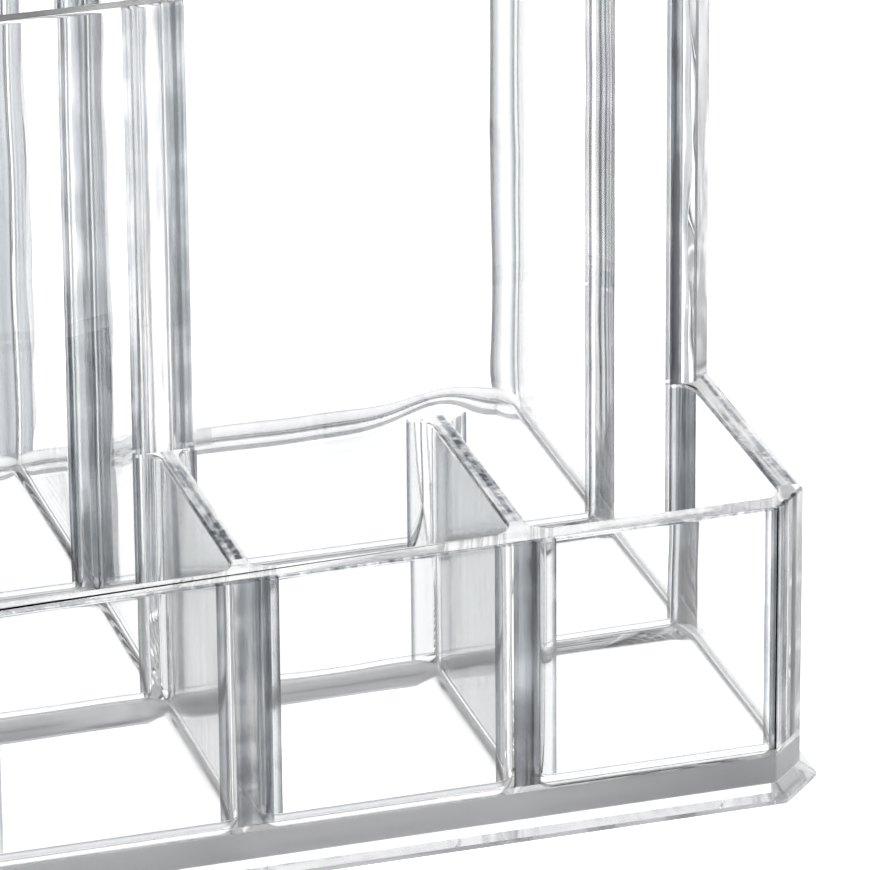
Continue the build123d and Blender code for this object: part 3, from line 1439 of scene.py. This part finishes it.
@dataclass(frozen=True)
class Studio:
    """Plain pale floor, soft light from all round, and the photograph's camera.

    Angles are in degrees, the eye in millimetres, and the floor and the camera's limits in metres.
    """

    azimuth: float = -16.817
    elevation: float = 24.32
    roll: float = -0.45
    eye_mm: tuple[float, float, float] = (-189.93, -741.16, 372.36)
    focal_px: float = 8000.0
    image_px: float = 870.0
    sensor_mm: float = 36.0
    nearest: float = 0.01
    farthest: float = 50.0
    floor_half: float = 3.0
    floor_lines: int = 13
    floor_drop: float = 0.00005
    floor_grey: float = 0.9
    floor_roughness: float = 0.7
    floor_glow: float = 1.0
    low_sky: tuple[float, float, float] = (0.08, 0.085, 0.09)
    high_sky: tuple[float, float, float] = (1.0, 1.0, 1.0)
    high_sky_from: float = 0.9
    bounces: int = 20
    open_bounces: int = 48
    brightest_bounce: float = 6.0

    def camera(self) -> None:
        """Place the camera at the photograph's angle."""
        a, e, r = (math.radians(angle) for angle in (self.azimuth, self.elevation, self.roll))
        right = Vector((math.cos(a), math.sin(a), 0.0))
        back = Vector((math.sin(a) * math.cos(e), -math.cos(a) * math.cos(e), math.sin(e)))
        level = Matrix((right, back.cross(right), back)).transposed()
        turned = level @ Matrix.Rotation(r, 3, "Z")
        data = bpy.data.cameras.new("photo_camera")
        data.sensor_width = self.sensor_mm
        data.lens = self.focal_px / self.image_px * self.sensor_mm
        data.clip_start = self.nearest
        data.clip_end = self.farthest
        camera = bpy.data.objects.new("photo_camera", data)
        camera.matrix_world = Matrix.Translation(Vector(self.eye_mm) * MM) @ turned.to_4x4()
        bpy.context.scene.collection.objects.link(camera)
        bpy.context.scene.camera = camera

    def floor(self) -> None:
        """Lay a wide pale floor that glows, so it stays white round clear plastic."""
        axis = np.linspace(-self.floor_half, self.floor_half, self.floor_lines)
        x, y = np.meshgrid(axis, axis)
        places = np.column_stack([x.ravel(), y.ravel(), np.full(x.size, -self.floor_drop)])
        index = np.arange(x.size).reshape(x.shape)
        tiles = np.stack([index[:-1, :-1], index[:-1, 1:], index[1:, 1:], index[1:, :-1]], axis=2)
        mesh = bpy.data.meshes.new("pale_floor")
        mesh.from_pydata(places.tolist(), [], tiles.reshape(-1, 4).tolist())
        material = bpy.data.materials.new("pale_floor")
        material.use_nodes = True
        Wiring(material.node_tree).feed(material.node_tree.nodes["Principled BSDF"], {
            "Base Color": (self.floor_grey, self.floor_grey, self.floor_grey, 1.0),
            "Roughness": self.floor_roughness,
            "Emission Color": (1.0, 1.0, 1.0, 1.0),
            "Emission Strength": self.floor_glow,
        })
        mesh.materials.append(material)
        floor = bpy.data.objects.new("pale_floor", mesh)
        bpy.context.scene.collection.objects.link(floor)

    def sky(self) -> None:
        """Light the set from a soft surround: white overhead, and grey towards the horizon."""
        world = bpy.data.worlds.new("soft_surround")
        world.use_nodes = True
        wiring = Wiring(world.node_tree)
        place = wiring.add("TexCoord", {}).outputs["Generated"]
        height = wiring.add("SeparateXYZ", {"Vector": place}).outputs["Z"]
        ramp = wiring.add("ValToRGB", {"Fac": height})
        low, high = ramp.color_ramp.elements
        low.color = (*self.low_sky, 1.0)
        high.position = self.high_sky_from
        high.color = (*self.high_sky, 1.0)
        wiring.feed(world.node_tree.nodes["Background"], {"Color": ramp.outputs["Color"], "Strength": 1.0})
        bpy.context.scene.world = world

    def build(self) -> None:
        """Set the stage and the way light is followed through clear pieces."""
        self.camera()
        self.floor()
        self.sky()
        scene = bpy.context.scene
        scene.view_settings.view_transform = "Standard"
        scene.cycles.max_bounces = self.bounces
        scene.cycles.transmission_bounces = self.bounces
        scene.cycles.glossy_bounces = self.bounces
        scene.cycles.transparent_max_bounces = self.open_bounces
        scene.cycles.sample_clamp_indirect = self.brightest_bounce


def main() -> None:
    """Build the organiser panel by panel, then the studio."""
    logging.basicConfig(level=logging.INFO, format="%(name)s: %(message)s")
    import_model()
    plastics = {Slot.WALL: WALL_PLASTIC.material(), Slot.BASE: BASE_PLASTIC.material()}
    shop = Workshop(plastics, WeldFilm().material())
    BaseTray().build(shop)
    FrontRow().build(shop)
    TallBlock().build(shop)
    Studio().build()
    log.info("%d pieces", len(shop.pieces))


if __name__ == "__main__":
    main()
